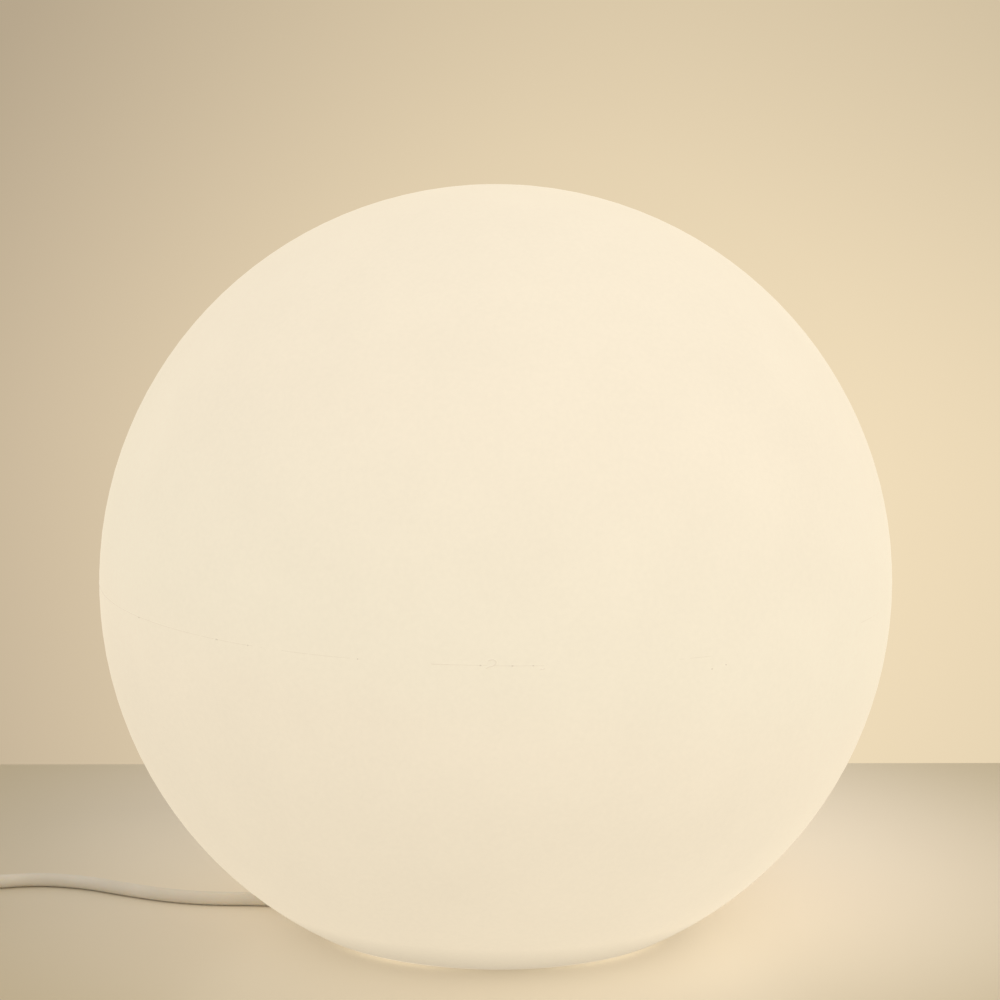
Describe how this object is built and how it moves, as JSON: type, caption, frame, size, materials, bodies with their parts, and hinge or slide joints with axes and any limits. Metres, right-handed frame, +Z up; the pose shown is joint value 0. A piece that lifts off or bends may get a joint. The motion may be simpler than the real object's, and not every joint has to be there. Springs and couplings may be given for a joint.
{
  "type": "garden globe light",
  "caption": "Moulded translucent globe light, lit from inside by a screw-in bulb, standing on its own flattened foot with a mains cord.",
  "frame": {"origin": "on the floor, under the centre of the globe", "axes": "+Z up along the globe's axis; seen from -Y, the cord leaves to the left, towards -X"},
  "size_m": [0.5917, 0.3998, 0.376],
  "materials": {
    "globe_polyethylene": "translucent moulded, lit from inside",
    "base_polypropylene": "moulded, satin",
    "seal_rubber": "matt",
    "brass": "turned",
    "zinc_steel": "zinc plated",
    "gland_polyamide": "moulded, satin",
    "holder_plastic": "moulded, glossy",
    "carrier_ceramic": "matt",
    "cord_pvc": "smooth, half matt",
    "core_brown": "smooth",
    "core_blue": "smooth",
    "cap_nickel": "drawn and plated",
    "cap_glass": "vitrified, glossy",
    "bulb_plastic": "moulded, glossy",
    "bulb_opal": "opal, lit",
    "board_aluminium": "solder-masked",
    "chip_phosphor": "moulded",
    "circuit_board": "coated"
  },
  "bodies": {
    "lamp": {"base_screws": "zinc_steel", "base_gasket": "seal_rubber", "lamp_base": "base_polypropylene", "gland_body": "gland_polyamide", "gland_nut": "gland_polyamide", "gland_seal": "seal_rubber", "gland_washer": "seal_rubber", "gland_locknut": "gland_polyamide", "holder_tube": "zinc_steel", "holder_tube_nut": "zinc_steel", "holder_cap": "holder_plastic", "holder_shell": "holder_plastic", "contact_carrier": "carrier_ceramic", "thread_sleeve": "brass", "centre_contact": "brass", "terminals": "brass", "terminal_screws": "zinc_steel", "inner_flex": "cord_pvc", "core_brown": "core_brown", "core_blue": "core_blue", "cord_stretch": "cord_pvc", "cord_coil": "cord_pvc", "cord_tail": "cord_pvc", "plug_boot": "cord_pvc", "plug_body": "cord_pvc", "plug_pins": "cap_nickel"},
    "globe": {"globe_shell": "globe_polyethylene", "threaded_inserts": "brass"},
    "bulb": {"bulb_tip": "cap_nickel", "bulb_insulator": "cap_glass", "bulb_cap": "cap_nickel", "bulb_housing": "bulb_plastic", "driver_board": "circuit_board", "led_board": "board_aluminium", "led_chips": "chip_phosphor", "bulb_diffuser": "bulb_opal"}
  },
  "joints": [
    {"name": "globe_lift", "type": "slide", "parent": "lamp", "child": "globe", "axis": [0, 0, 1], "range_m": [0, 0.22]},
    {"name": "bulb_turn", "type": "hinge", "parent": "lamp", "child": "bulb", "pos_m": [0, 0, 0.15], "axis": [0, 0, 1], "range_deg": [0, 1440]}
  ]
}
